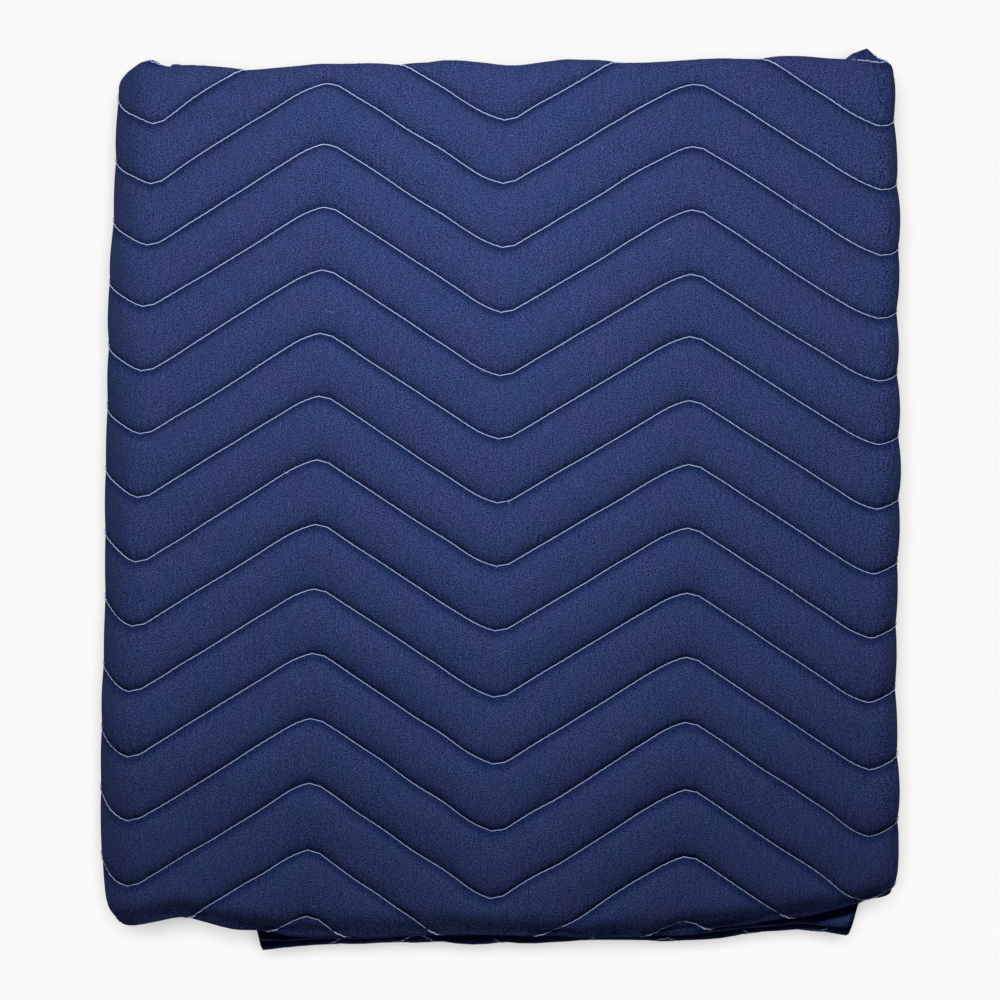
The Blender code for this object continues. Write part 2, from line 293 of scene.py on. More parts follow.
# Colours and finish
NAVY_DARK = (0.0062, 0.012, 0.04, 1.0)
NAVY_LIGHT = (0.045, 0.064, 0.19, 1.0)
BLUER_TINT = (0.92, 1.02, 1.00, 1.0)
REDDER_TINT = (1.08, 0.98, 1.00, 1.0)
CLOTH_ROUGHNESS = 0.74
CLOTH_SHEEN = 0.05
CLOTH_SHEEN_TINT = (0.42, 0.5, 0.95, 1.0)
CLOTH_SHEEN_ROUGHNESS = 0.45
CLOTH_SPECULAR = 0.0
THREAD_DARK = (0.35, 0.41, 0.66, 1.0)
THREAD_LIGHT = (0.55, 0.63, 0.97, 1.0)
THREAD_ROUGHNESS = 0.75
THREAD_SPECULAR = 0.3
TWIST_LENGTH = 0.00038
TWIST_TURNS = 2.0
TWIST_BUMP = 0.0001
TWIST_RANGE = (0.3, 0.7)

# How fine each noise is in itself
FINE_DETAIL = 1.0
GATHER_DETAIL = 1.5
CLOUD_DETAIL = 2.0

# The weave in the cloth: each yarn's width and the length of its thicker stretches
YARN_WIDTH = 0.00042
YARN_SLUB = 0.0022
SPECKLE_SIZE = 0.00062
WEAVE_SHARE = 0.28
GRAIN_RANGE = (0.43, 0.57)
GRAIN_BUMP = 0.0001
CLOUD_SIZE = 0.026
CLOUD_RANGE = (0.35, 0.65)
STREAK_WIDTH = 0.0017
STREAK_LENGTH = 0.011
STREAK_RANGE = (0.3, 0.7)
STREAK_LOW = 0.92
STREAK_HIGH = 1.08

# Painted shade in the seams: the cloth's colour is darker and bluer from a stitch row to a little way in
# front of it
SEAM_PAINTED_SHADE = (0.42, 0.54, 0.66, 1.0)
NO_PAINTED_SHADE = (1.0, 1.0, 1.0, 1.0)
SEAM_SHADE_REACH = 0.15
SEAM_SHADE_MIDDLE = 0.035

# Fine gathers that the stitching pulls into the cloth beside each row
GATHER_WIDTH = 0.0021
GATHERS_PER_ROW = 2.6
GATHER_REACH = 0.4
GATHER_BUMP = 0.0015

# Camera: a point on the packet's top that it looks at, its distance, tilt and lens
TARGET_Y = -0.0063
TARGET_Z = 0.0565
CAMERA_DISTANCE = 1.5
CAMERA_TILT = math.asin(0.0945)
FOCAL_PIXELS = 2575.0
FRAME_PIXELS = 1000.0
SENSOR_WIDTH = 36.0

FLOOR_SIZE = 12.0
FLOOR_DROP = 0.0002
FLOOR_COLOUR = (0.83, 0.82, 0.8, 1.0)
FLOOR_ROUGHNESS = 0.9
FLOOR_SPECULAR = 0.0

# Lights: the key hangs over the mat's back edge, so the front of each pad is in the shade
KEY_PLACE = (-0.03, 0.29, 0.7)
KEY_AIM = (-0.04, 0.05, 0.05)
KEY_WIDTH = 0.3
KEY_DEPTH = 0.1
KEY_POWER = 6.9
FLOOR_LIGHT_ANGLE = math.radians(40.0)
FLOOR_LIGHT_POWER = 3.55
WORLD_COLOUR = (0.72, 0.9, 1.34, 1.0)
WORLD_STRENGTH = 0.035

# Behind the floor's far edge the picture has the floor's own brightness
BACKDROP_COLOUR = (0.959, 0.952, 0.939, 1.0)


class FoldedLine:
    """A line of straight runs and half turns, which gives the place of each point along it."""

    def __init__(self, start, heading, legs):
        self.legs = []
        self.ends = [0.0]
        place = start
        for leg in legs:
            self.legs.append((leg, place, heading))
            self.ends.append(self.ends[-1] + leg.length)
            place, heading = self.after(leg, place, heading, leg.length)
        self.length = self.ends[-1]

    @staticmethod
    def after(leg, place, heading, distance):
        """Place and heading after some distance along one leg."""
        if not leg.turn:
            across = place[0] + distance * math.cos(heading)
            up = place[1] + distance * math.sin(heading)
            return (across, up), heading
        new_heading = heading + leg.turn * distance / leg.length
        reach = math.copysign(leg.radius, leg.turn)
        across = place[0] + reach * (math.sin(new_heading) - math.sin(heading))
        up = place[1] - reach * (math.cos(new_heading) - math.cos(heading))
        return (across, up), new_heading

    def leg_at(self, along):
        """The number of the leg that holds a point."""
        for number, end in enumerate(self.ends[1:]):
            if along < end:
                return number
        return len(self.legs) - 1

    def at(self, along):
        """Place of a point, and the direction to the line's left there."""
        number = self.leg_at(along)
        leg, place, heading = self.legs[number]
        place, heading = self.after(leg, place, heading, along - self.ends[number])
        return place, (-math.sin(heading), math.cos(heading))

    def stations(self, run_places, extra=()):
        """Where the sheet has a line of points across it, also at some extra places of each run."""
        places = []
        for number, (leg, place, heading) in enumerate(self.legs):
            start = self.ends[number]
            if leg.turn:
                places += evenly(start, start + leg.length, leg.length / leg.pieces)
            else:
                here = run_places(start, start + leg.length)
                added = [start + (across - place[0]) * math.cos(heading) for across in extra]
                here += [along for along in added if start < along < start + leg.length]
                places += sorted(here)
        return places + [self.length]


def evenly(start, end, step):
    """Even places from start up to end, without end itself, about a step apart."""
    count = max(1, round((end - start) / step))
    return [start + (end - start) * number / count for number in range(count)]


def close_at_ends(start, end):
    """Places along a straight run, closer together towards the folds at its ends."""
    first = [start] + [start + distance for distance in NEAR_TURN]
    last = [end - distance for distance in reversed(NEAR_TURN)]
    return first[:-1] + evenly(first[-1], last[0], HIDDEN_ROW_STEP) + last


def even_columns(start, end):
    """Places along a straight run, all as far apart."""
    return evenly(start, end, HIDDEN_COLUMN_STEP)


def run(length):
    """A straight leg."""
    return Leg(length, 0.0, 0.0, 1)


def half_turn(radius, turn, pieces=SMALL_TURN_PIECES):
    """A leg that turns back on itself."""
    return Leg(math.pi * radius, turn, radius, pieces)


# The fold in the depth: an under ply, back turn, top ply, front turn, and two plies between them
BACK_TURN_Y = HALF_DEPTH - 2.0 * PLY_PITCH
FRONT_TURN_Y = PLY_PITCH - HALF_DEPTH
PLY_RUN = BACK_TURN_Y - FRONT_TURN_Y
DEPTH_FOLD = FoldedLine(
    start=(OUTER_PLY_EDGE_INSET - HALF_DEPTH, 0.5 * PLY_PITCH),
    heading=0.0,
    legs=(
        run(BACK_TURN_Y + HALF_DEPTH - OUTER_PLY_EDGE_INSET),
        half_turn(WIDE_RADIUS * PLY_PITCH, LEFT_TURN),
        run(PLY_RUN),
        half_turn(TIGHT_RADIUS * PLY_PITCH, LEFT_TURN),
        run(PLY_RUN),
        half_turn(TIGHT_RADIUS * PLY_PITCH, RIGHT_TURN),
        run(BACK_TURN_Y + HALF_DEPTH - INNER_PLY_EDGE_INSET),
    ),
)
BACK_TURN_START, TOP_PLY_START, FRONT_TURN_START, FRONT_TURN_END = DEPTH_FOLD.ends[1:5]

# The fold in the width: the packet runs under, over the top, and back in twice between them
LEFT_TURN_X = 2.0 * PACKET_THICKNESS - HALF_WIDTH
RIGHT_TURN_X = HALF_WIDTH - PACKET_THICKNESS
PACKET_RUN = RIGHT_TURN_X - LEFT_TURN_X
TOP_RUN_AND_TURNS = (1, 2, 3)
LOWER_RUNS = (0, 4, 6)
WIDTH_FOLD = FoldedLine(
    start=(HALF_WIDTH - UNDER_RUN_EDGE_INSET, 0.5 * PACKET_THICKNESS - 0.5 * PLY_GAP),
    heading=math.pi,
    legs=(
        run(HALF_WIDTH - UNDER_RUN_EDGE_INSET - LEFT_TURN_X),
        half_turn(WIDE_RADIUS * PACKET_THICKNESS, RIGHT_TURN, BIG_TURN_PIECES),
        run(PACKET_RUN),
        half_turn(TIGHT_RADIUS * PACKET_THICKNESS, RIGHT_TURN),
        run(PACKET_RUN),
        half_turn(TIGHT_RADIUS * PACKET_THICKNESS, LEFT_TURN),
        run(HALF_WIDTH - INNER_RUN_EDGE_INSET - LEFT_TURN_X),
    ),
)
LEFT_TURN_START, TOP_RUN_START, RIGHT_TURN_START, RIGHT_TURN_END = WIDTH_FOLD.ends[1:5]
SHEET_WIDTH = WIDTH_FOLD.length


def limited(share):
    """A share kept between 0 and 1."""
    return min(max(share, 0.0), 1.0)


def smooth_step(share):
    """0 to 1 with level ends."""
    share = limited(share)
    return share * share * (3.0 - 2.0 * share)


def rippled(ripple, across, along):
    """A smooth random amount at a place, the same in each run."""
    place = Vector((across / ripple.across, along / ripple.along, ripple.seed))
    return ripple.amount * noise.noise(place)


def amount_at(table, place):
    """The amount that a table of stations gives at one place."""
    for before, after in zip(table, table[1:]):
        if place <= after.place:
            share = limited((place - before.place) / (after.place - before.place))
            return before.amount + share * (after.amount - before.amount)
    return table[-1].amount


def soft_inset(edge, place, softness):
    """The inset of an uneven edge, with its corners rounded as cloth rounds them."""
    nearby = (amount_at(edge, place - softness) + amount_at(edge, place + softness)) / 2
    return (amount_at(edge, place) + nearby) / 2


def top_run_share(along):
    """1 on the packet's top run, 0 on the other runs, and in between around its two turns."""
    rising = (along - LEFT_TURN_START) / (TOP_RUN_START - LEFT_TURN_START)
    falling = (RIGHT_TURN_END - along) / (RIGHT_TURN_END - RIGHT_TURN_START)
    return min(limited(rising), limited(falling))


def edge_insets(along, across):
    """The insets of the uneven front and back edges at one place across the mat."""
    top = top_run_share(along)
    insets = []
    for upper, lower in ((TOP_FRONT_EDGE, LOWER_FRONT_EDGE), (TOP_BACK_EDGE, LOWER_BACK_EDGE)):
        inset = soft_inset(upper, across, EDGE_SOFTNESS) * top
        insets.append(inset + soft_inset(lower, across, LOWER_EDGE_SOFTNESS) * (1.0 - top))
    return insets


def edge_shift(insets, along, row, depth):
    """How far the uneven front and back edges move a point of the folded mat."""
    front_share = limited((BACK_TURN_Y - depth) / PLY_RUN)
    back_share = 1.0 - front_share
    if TOP_PLY_START < row < FRONT_TURN_START:
        top = top_run_share(along)
        near_front = 1.0 - smooth_step(back_share * PLY_RUN / EDGE_REACH)
        near_back = 1.0 - smooth_step(front_share * PLY_RUN / EDGE_REACH)
        front_share += top * (near_front - front_share)
        back_share += top * (near_back - back_share)
    return insets[0] * front_share - insets[1] * back_share


def side_shift(across, depth):
    """How far the uneven left and right sides move a point of the folded mat."""
    left = amount_at(LEFT_EDGE, depth) * (1.0 - smooth_step((HALF_WIDTH + across) / SIDE_REACH))
    right = amount_at(RIGHT_EDGE, depth) * (1.0 - smooth_step((HALF_WIDTH - across) / SIDE_REACH))
    return left - right


def stretched_ends(place, start, end, start_stretch, end_stretch):
    """A place with a different scale before start and after end."""
    before = min(0.0, place - start) * (start_stretch - 1.0)
    after = max(0.0, place - end) * (end_stretch - 1.0)
    return place + before + after


def top_face_place(along, row):
    """A sheet point in the top face's own width and depth, rolled out flat past its turns.

    Past a turn it is measured on the outside of the fold, which is longer than the sheet's middle.
    """
    along = stretched_ends(along, TOP_RUN_START, RIGHT_TURN_START, LEFT_STRETCH, RIGHT_STRETCH)
    row = stretched_ends(row, TOP_PLY_START, FRONT_TURN_START, BACK_STRETCH, FRONT_STRETCH)
    return LEFT_TURN_X + along - TOP_RUN_START, BACK_TURN_Y + TOP_PLY_START - row


def sheet_place(across, depth):
    """The sheet point at a place of the rolled-out top face."""
    along = across - LEFT_TURN_X + TOP_RUN_START
    row = BACK_TURN_Y + TOP_PLY_START - depth
    sides = (1.0 / LEFT_STRETCH, 1.0 / RIGHT_STRETCH)
    ends = (1.0 / BACK_STRETCH, 1.0 / FRONT_STRETCH)
    along = stretched_ends(along, TOP_RUN_START, RIGHT_TURN_START, *sides)
    return along, stretched_ends(row, TOP_PLY_START, FRONT_TURN_START, *ends)


def zigzag_rise(straight):
    """The height of a stitch row above its own line, with its corners as the machine sews them."""
    while straight < ZIGZAG[0].across:
        straight += ZIGZAG_WIDTH
    while straight > ZIGZAG[-1].across:
        straight -= ZIGZAG_WIDTH
    for left, right in zip(ZIGZAG, ZIGZAG[1:]):
        if straight <= right.across:
            break
    lost_at_start = (1.0 - SHOULDER_SLOPE) * left.shoulder
    lost_at_end = (1.0 - APPROACH_SLOPE) * right.approach / 2
    slope = (right.rise - left.rise) / (right.across - left.across - lost_at_start - lost_at_end)
    from_left = straight - left.across
    in_approach = max(0.0, straight - (right.across - right.approach)) / right.approach
    lost = min(from_left, left.shoulder) * (1.0 - SHOULDER_SLOPE) + lost_at_end * in_approach**2
    return left.rise + slope * (from_left - lost)


def shift_of_rows(insets, along, row):
    """How far the uneven edges move a place of the rolled-out top face."""
    depth = top_face_place(along, row)[1]
    return edge_shift(insets, along, row, min(max(depth, FRONT_TURN_Y), BACK_TURN_Y))


def row_drifts(straight):
    """How far the stitch rows stand back near the back edge there, and forward near the front one."""
    return amount_at(ROWS_BACK, straight), amount_at(ROWS_FORWARD, straight)


def drift_at(drifts, even_depth):
    """How far back a stitch row stands of its even place."""
    back = smooth_step((even_depth - ROWS_BACK_START) / ROWS_DRIFT_LENGTH)
    forward = smooth_step((ROWS_FORWARD_START - even_depth) / ROWS_DRIFT_LENGTH)
    return drifts[0] * back - drifts[1] * forward


def zigzag_place(straight, rows_down):
    """The sheet point at one place of a stitch row, some number of rows below the first row.

    The rows run true on the folded mat's top face, so the sheet point that ends up there is found
    by moving back by the shift of the uneven edges, again and again until it stays in place.
    """
    even_depth = FIRST_ROW_DEPTH + zigzag_rise(straight) - rows_down * STITCH_ROW_SPACING
    wanted = even_depth + drift_at(row_drifts(straight), even_depth)
    across = straight + STITCH_LEAN * wanted
    along, row = sheet_place(across, wanted)
    insets = edge_insets(along, WIDTH_FOLD.at(along)[0][0])
    for _ in range(REPEATS_TO_PLACE_A_ROW):
        row = sheet_place(across, wanted - shift_of_rows(insets, along, row))[1]
    return along, row


def zigzag_position(along, row):
    """How far along its stitch rows a sheet point is, and how many rows below the first."""
    across, depth = top_face_place(along, row)
    depth += shift_of_rows(edge_insets(along, WIDTH_FOLD.at(along)[0][0]), along, row)
    straight = across - STITCH_LEAN * depth
    drifts = row_drifts(straight)
    even_depth = depth
    for _ in range(REPEATS_TO_FIND_A_ROW):
        even_depth = depth - drift_at(drifts, even_depth)
    return straight, (FIRST_ROW_DEPTH + zigzag_rise(straight) - even_depth) / STITCH_ROW_SPACING


def fade_round(along, start, end, length, keeps):
    """1 on a flat run, a smaller share halfway round the fold beside it, and 0 at the fold's far end."""
    middle = (start + end) / 2
    near = smooth_step((along - middle) / (end - middle))
    far = smooth_step(abs(along - start) / length)
    return far * (keeps + (1.0 - keeps) * near)


def pad_height(along, row):
    """How far the pad stands out from the stitch lines, on the side of the sheet that shows."""
    straight, rows_down = zigzag_position(along, row)
    from_middle = abs(2.0 * (rows_down - math.floor(rows_down)) - 1.0)
    from_middle = min(1.0, from_middle / (1.0 - SEAM_FLAT))
    puff = (1.0 - from_middle**PUFF_ROUNDNESS) ** PUFF_FULLNESS
    if WIDTH_FOLD.leg_at(along) not in TOP_RUN_AND_TURNS:
        turn = limited((row - FRONT_TURN_START) / (FRONT_TURN_END - FRONT_TURN_START))
        turn += limited((row - BACK_TURN_START) / (TOP_PLY_START - BACK_TURN_START))
        return NOSE_PUFF * puff * math.sin(math.pi * (turn % 1.0))
    left = fade_round(along, LEFT_TURN_START, TOP_RUN_START, LEFT_TURN_FADE, LEFT_TURN_KEEPS)
    right = fade_round(along, RIGHT_TURN_END, RIGHT_TURN_START, RIGHT_TURN_FADE, RIGHT_TURN_KEEPS)
    back = smooth_step((row - BACK_TURN_START) / BACK_TURN_FADE)
    front = smooth_step((FRONT_TURN_END - row) / FRONT_TURN_FADE)
    height = PUFF_HEIGHT * puff * (1.0 + rippled(PUFF_VARIATION, along, row))
    height += puff * rippled(PAD_LUMPS, along, row)
    beside_seam = smooth_step((1.0 - from_middle) / SEAM_CREASE_START)
    beside_seam *= 1.0 - smooth_step((1.0 - from_middle) / (2.0 * SEAM_CREASE_REACH))
    height += beside_seam * rippled(SEAM_CREASES, straight, row)
    return max(0.0, height) * left * right * back * front


def roll_at(depth):
    """0 away from the front fold, rising to 1 at it as a round edge falls away."""
    near = limited((FRONT_TURN_Y + FRONT_ROLL - depth) / FRONT_ROLL)
    return 1.0 - math.sqrt(1.0 - near * near)


def folded_place(along, row, side):
    """Where a sheet point goes in the folded mat, side metres to the left of the sheet's middle."""
    (depth, height), (left_depth, left_height) = DEPTH_FOLD.at(row)
    depth += side * left_depth
    rolled = 1.0 - FRONT_ROLL_THINS * roll_at(depth) * top_run_share(along)
    lift = rolled * (height + side * left_height) - PACKET_THICKNESS / 2
    (middle_across, middle_up), (left_across, left_up) = WIDTH_FOLD.at(along)
    across = middle_across + lift * left_across
    insets = edge_insets(along, middle_across)
    shifted_depth = depth + edge_shift(insets, along, row, depth) - OUTLINE_MIDDLE_Y
    return across + side_shift(across, depth), shifted_depth, middle_up + lift * left_up


def settled(across, depth, height):
    """A place of the folded mat once its loose plies have settled."""
    front = smooth_step((DROOP_LENGTH - HALF_DEPTH - depth) / DROOP_LENGTH)
    back = smooth_step((DROOP_LENGTH - HALF_DEPTH + depth) / DROOP_LENGTH)
    side = smooth_step((DROOP_LENGTH - HALF_WIDTH + abs(across)) / DROOP_LENGTH)
    share = 1.0 - FRONT_DROOP * front - BACK_DROOP * back - SIDE_DROOP * side
    share += rippled(TOP_WAVES, across, depth) + rippled(TOP_DIMPLES, across, depth)
    height *= share
    near_end = smooth_step((abs(depth) - SLIP_START) / SLIP_LENGTH)
    near_side = smooth_step((abs(across) - SLIP_START) / SLIP_LENGTH)
    depth += near_end * (rippled(DEPTH_SLIP, across, height) + rippled(DEPTH_CRIMP, across, height))
    across += near_side * rippled(WIDTH_SLIP, depth, height)
    return across, depth, max(0.0, height)


def mat_place(along, row, side):
    """Where a point of the flat sheet is in the finished mat, moved as far as its row wanders."""
    row = row + rippled(ROW_WANDER, along, row) + rippled(ROW_WOBBLE, along, row)
    return settled(*folded_place(along, row, side))


def zigzag_columns():
    """Places along a stitch row for the points of the sheet, with one at each corner of the row."""
    places = []
    for left, right in zip(ZIGZAG, ZIGZAG[1:]):
        bends = (left.across, left.across + left.shoulder, right.across - right.approach, right.across)
        for start, end in zip(bends, bends[1:]):
            places += evenly(start, end, COLUMN_STEP)
    lowest = zigzag_position(LEFT_TURN_START, BACK_TURN_START)[0] - SPARE_COLUMNS * COLUMN_STEP
    highest = zigzag_position(RIGHT_TURN_END, FRONT_TURN_END)[0] + SPARE_COLUMNS * COLUMN_STEP
    return [place for place in places if lowest < place < highest]


def trim(sheet, through, normal, clear):
    """Cuts the sheet along an upright plane, and clears the side that the normal points to."""
    bmesh.ops.bisect_plane(
        sheet,
        geom=sheet.verts[:] + sheet.edges[:] + sheet.faces[:],
        dist=TRIM_SNAP,
        plane_co=(through[0], through[1], 0.0),
        plane_no=(normal[0], normal[1], 0.0),
        clear_outer=clear,
    )


def drop_unused_points(sheet):
    """Deletes the points that no face uses."""
    unused = [corner for corner in sheet.verts if not corner.link_faces]
    bmesh.ops.delete(sheet, geom=unused, context="VERTS")


def add_quilted_part(sheet):
    """The part of the outer face that shows, with rows of points along its stitch lines."""
    rows = []
    for number in ZIGZAG_ROWS:
        rows.append(float(number))
        rows += [number + share for share in PUFF_SHARES]
        rows += [number + 1.0 - share for share in reversed(PUFF_SHARES)]
    columns = zigzag_columns()
    grid = []
    for rows_down in rows:
        places = [zigzag_place(straight, rows_down) for straight in columns]
        grid.append([sheet.verts.new((*place, OUTER_SIDE)) for place in places])
    for upper, lower in zip(grid, grid[1:]):
        for corners in zip(upper, upper[1:], lower[1:], lower):
            depths = [corner.co.y for corner in corners]
            if max(depths) >= BACK_TURN_START and min(depths) <= FRONT_TURN_END:
                sheet.faces.new(corners)
    drop_unused_points(sheet)
    trim(sheet, (LEFT_TURN_START, 0.0), (-1.0, 0.0), True)
    trim(sheet, (RIGHT_TURN_END, 0.0), (1.0, 0.0), True)
    trim(sheet, (0.0, BACK_TURN_START), (0.0, -1.0), True)
    trim(sheet, (0.0, FRONT_TURN_END), (0.0, 1.0), True)
    for start, end in ((BACK_TURN_START, TOP_PLY_START), (FRONT_TURN_START, FRONT_TURN_END)):
        for row in evenly(start, end, (end - start) / SMALL_TURN_PIECES)[1:] + [end]:
            trim(sheet, (0.0, row), (0.0, 1.0), False)


def add_plain_part(sheet):
    """The rest of the sheet: its hidden outer face, its inner face and its rounded rim."""
    columns = WIDTH_FOLD.stations(even_columns, EXTRA_COLUMNS)
    rows = DEPTH_FOLD.stations(close_at_ends)
    faces = {}
    for side in (OUTER_SIDE, INNER_SIDE):
        for i, along in enumerate(columns):
            for j, row in enumerate(rows):
                faces[i, j, side] = sheet.verts.new((along, row, side))
    hole_columns = range(columns.index(LEFT_TURN_START) - 1, columns.index(RIGHT_TURN_END) + 1)
    hole_rows = range(rows.index(BACK_TURN_START) - 1, rows.index(FRONT_TURN_END) + 1)
    for i in range(len(columns) - 1):
        for j in range(len(rows) - 1):
            around = ((i, j), (i + 1, j), (i + 1, j + 1), (i, j + 1))
            sheet.faces.new([faces[a, b, INNER_SIDE] for a, b in around])
            if i not in hole_columns or j not in hole_rows:
                sheet.faces.new([faces[a, b, OUTER_SIDE] for a, b in around])
    add_rim(sheet, faces, len(columns) - 1, len(rows) - 1)
    drop_unused_points(sheet)


def add_rim(sheet, faces, last_column, last_row):
    """The sheet's own edges, bulging a little between its two faces."""
    loop = [(i, 0) for i in range(last_column)]
    loop += [(last_column, j) for j in range(last_row)]
    loop += [(i, last_row) for i in range(last_column, 0, -1)]
    loop += [(0, j) for j in range(last_row, 0, -1)]
    middles = []
    for i, j in loop:
        place = faces[i, j, INNER_SIDE].co.copy()
        place.z = 0.0
        place.x += RIM_BULGE * ((i == last_column) - (i == 0))
        place.y += RIM_BULGE * ((j == last_row) - (j == 0))
        middles.append(sheet.verts.new(place))
    for number, here in enumerate(loop):
        following = (number + 1) % len(loop)
        there = loop[following]
        for side in (OUTER_SIDE, INNER_SIDE):
            ring = (faces[(*here, side)], faces[(*there, side)], middles[following], middles[number])
            sheet.faces.new(ring)


def flat_sheet():
    """The whole sheet laid out flat, as one closed mesh of triangles."""
    sheet = bmesh.new()
    add_quilted_part(sheet)
    add_plain_part(sheet)
    gap = [edge for edge in sheet.edges if len(edge.link_faces) == 1]
    bmesh.ops.triangle_fill(sheet, use_beauty=True, edges=gap, normal=(0.0, 0.0, -1.0))
    bmesh.ops.triangulate(sheet, faces=sheet.faces[:], quad_method="BEAUTY", ngon_method="BEAUTY")
    bmesh.ops.recalc_face_normals(sheet, faces=sheet.faces[:])
    return sheet


def write_uv(mesh, name, places):
    """A UV map that holds two numbers for each point of a mesh."""
    corners = np.zeros(len(mesh.loops), np.int32)
    mesh.loops.foreach_get("vertex_index", corners)
    layer = mesh.uv_layers.new(name=name)
    layer.data.foreach_set("uv", np.array(places, np.float32)[corners].ravel())


def add_object(name, data):
    """A new object in the scene."""
    made = bpy.data.objects.new(name, data)
    bpy.context.scene.collection.objects.link(made)
    return made


def finished_object(name, mesh, material):
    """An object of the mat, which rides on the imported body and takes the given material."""
    mesh.materials.append(material)
    mesh.shade_smooth()
    made = add_object(name, mesh)
    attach(made, "root")
    return made


def make_mat():
    """The folded mat, one sheet of quilted cloth."""
    sheet = flat_sheet()
    sheet_places = []
    zigzag_places = []
    for corner in sheet.verts:
        along, row, side = corner.co
        sheet_places.append(top_face_place(along, row))
        zigzag_places.append(zigzag_position(along, row))
        if side < OUTER_SIDE / 2:
            side -= pad_height(along, row)
        corner.co = mat_place(along, row, side)
    if sheet.calc_volume(signed=True) < 0.0:
        bmesh.ops.reverse_faces(sheet, faces=sheet.faces[:])
    mesh = bpy.data.meshes.new("quilted_cloth")
    sheet.to_mesh(mesh)
    sheet.free()
    write_uv(mesh, "sheet", sheet_places)
    write_uv(mesh, "zigzag", zigzag_places)
    mat = finished_object("quilted_cloth", mesh, navy_cloth())
    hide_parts("quilted_mat")
    return mat


class Tubes:
    """Thin round threads that follow lines on the flat sheet, gathered into one mesh."""

    def __init__(self, sides):
        self.sides = sides
        self.places = []
        self.faces = []
        self.lengths = []

    def add(self, line, radius):
        """A thread along (along, row, height over the cloth) points of the flat sheet."""
        first = len(self.places)
        length = 0.0
        for number, here in enumerate(line):
            before = line[max(0, number - 1)]
            after = line[min(len(line) - 1, number + 1)]
            ahead = Vector(after) - Vector(before)
            length += (Vector(here) - Vector(before)).length
            across = Vector((-ahead.y, ahead.x, 0.0)).normalized()
            lifted = ahead.cross(across).normalized()
            for corner in range(self.sides):
                angle = math.tau * corner / self.sides
                place = Vector(here) + radius * (math.cos(angle) * across + math.sin(angle) * lifted)
                self.places.append(mat_place(place.x, place.y, OUTER_SIDE - place.z))
                self.lengths.append((length, corner / self.sides))
        for ring in range(len(line) - 1):
            for corner in range(self.sides):
                beside = (corner + 1) % self.sides
                low = first + ring * self.sides
                high = low + self.sides
                self.faces.append((low + corner, low + beside, high + beside, high + corner))
        last = first + (len(line) - 1) * self.sides
        self.faces.append(tuple(range(first, first + self.sides)))
        self.faces.append(tuple(range(last, last + self.sides)))

    def finished(self, name):
        """All threads as one object of the mat, with its faces turned outwards."""
        made = bpy.data.meshes.new(name)
        made.from_pydata(self.places, [], self.faces)
        write_uv(made, "thread", self.lengths)
        tubes = bmesh.new()
        tubes.from_mesh(made)
        bmesh.ops.recalc_face_normals(tubes, faces=tubes.faces[:])
        tubes.to_mesh(made)
        tubes.free()
        return finished_object(name, made, white_thread())


def needle_places():
    """Where along one repeat of the zigzag the needle goes in, with a stitch end at each bend."""
    places = []
    for left, right in zip(ZIGZAG, ZIGZAG[1:]):
        shoulder_end = left.across + left.shoulder
        length = math.hypot(right.across - shoulder_end, right.rise - left.rise)
        step = STITCH_LENGTH * (right.across - shoulder_end) / length
        places += evenly(left.across, shoulder_end, SHOULDER_STITCH)
        places += evenly(shoulder_end, right.across, step)
    return places


def stitch_ends(rows_down, start, end):
    """The sheet points where the needle went in along a stitch row."""
    places = []
    for repeat in ZIGZAG_REPEATS:
        for place in NEEDLE_PLACES:
            straight = place + repeat * ZIGZAG_WIDTH
            if start - STITCH_LENGTH < straight < end + STITCH_LENGTH:
                along, row = zigzag_place(straight, rows_down)
                places.append((along, row + rippled(THREAD_WANDER, along, row + rows_down)))
    return places


NEEDLE_PLACES = needle_places()


def stitch_lift(share):
    """The height of the thread's middle over the cloth, a share of the way along a stitch."""
    return STITCH_LOW + (STITCH_HIGH - STITCH_LOW) * math.sqrt(math.sin(math.pi * share))


def row_lines(rows_down, start, end, wanted):
    """The stretches of a stitch row whose points are wanted, each a chain of straight stitches."""
    lines = []
    line = []
    ends = stitch_ends(rows_down, start, end)
    for before, after in zip(ends, ends[1:]):
        for share in STITCH_SHARES:
            along = before[0] + share * (after[0] - before[0])
            row = before[1] + share * (after[1] - before[1]) + STITCH_SKEW * (share - 0.5)
            if wanted(along, row):
                line.append((along, row, stitch_lift(share) + pad_height(along, row)))
            elif line:
                lines.append(line)
                line = []
    lines.append(line)
    return [line for line in lines if len(line) >= FEWEST_POINTS]


def on_shown_face(along, row):
    """Whether a stitch there shows on the top face or the folds around it."""
    left = LEFT_TURN_START + LEFT_TURN_FADE / BARE_PARTS_OF_FADE
    right = RIGHT_TURN_END - RIGHT_TURN_FADE / BARE_PARTS_OF_FADE
    ends_free = BACK_TURN_START + ROW_END_MARGIN < row < FRONT_TURN_END - ROW_END_MARGIN
    return ends_free and left < along < right


def on_lower_fold(along, row):
    """Whether a stitch there shows on the front or back fold of one of the lower packets."""
    if WIDTH_FOLD.leg_at(along) not in LOWER_RUNS:
        return False
    front = FRONT_TURN_START - NOSE_THREAD_REACH < row < FRONT_TURN_END
    back = BACK_TURN_START < row < TOP_PLY_START + NOSE_THREAD_REACH
    return front or back and WIDTH_FOLD.at(along)[0][0] < BACK_THREAD_END


def random_between(low, high, number, seed):
    """A number between two others that looks random, the same in each run."""
    share = noise.cell(Vector((number + 0.5, seed, SEED))) % 1.0
    return low + (high - low) * share


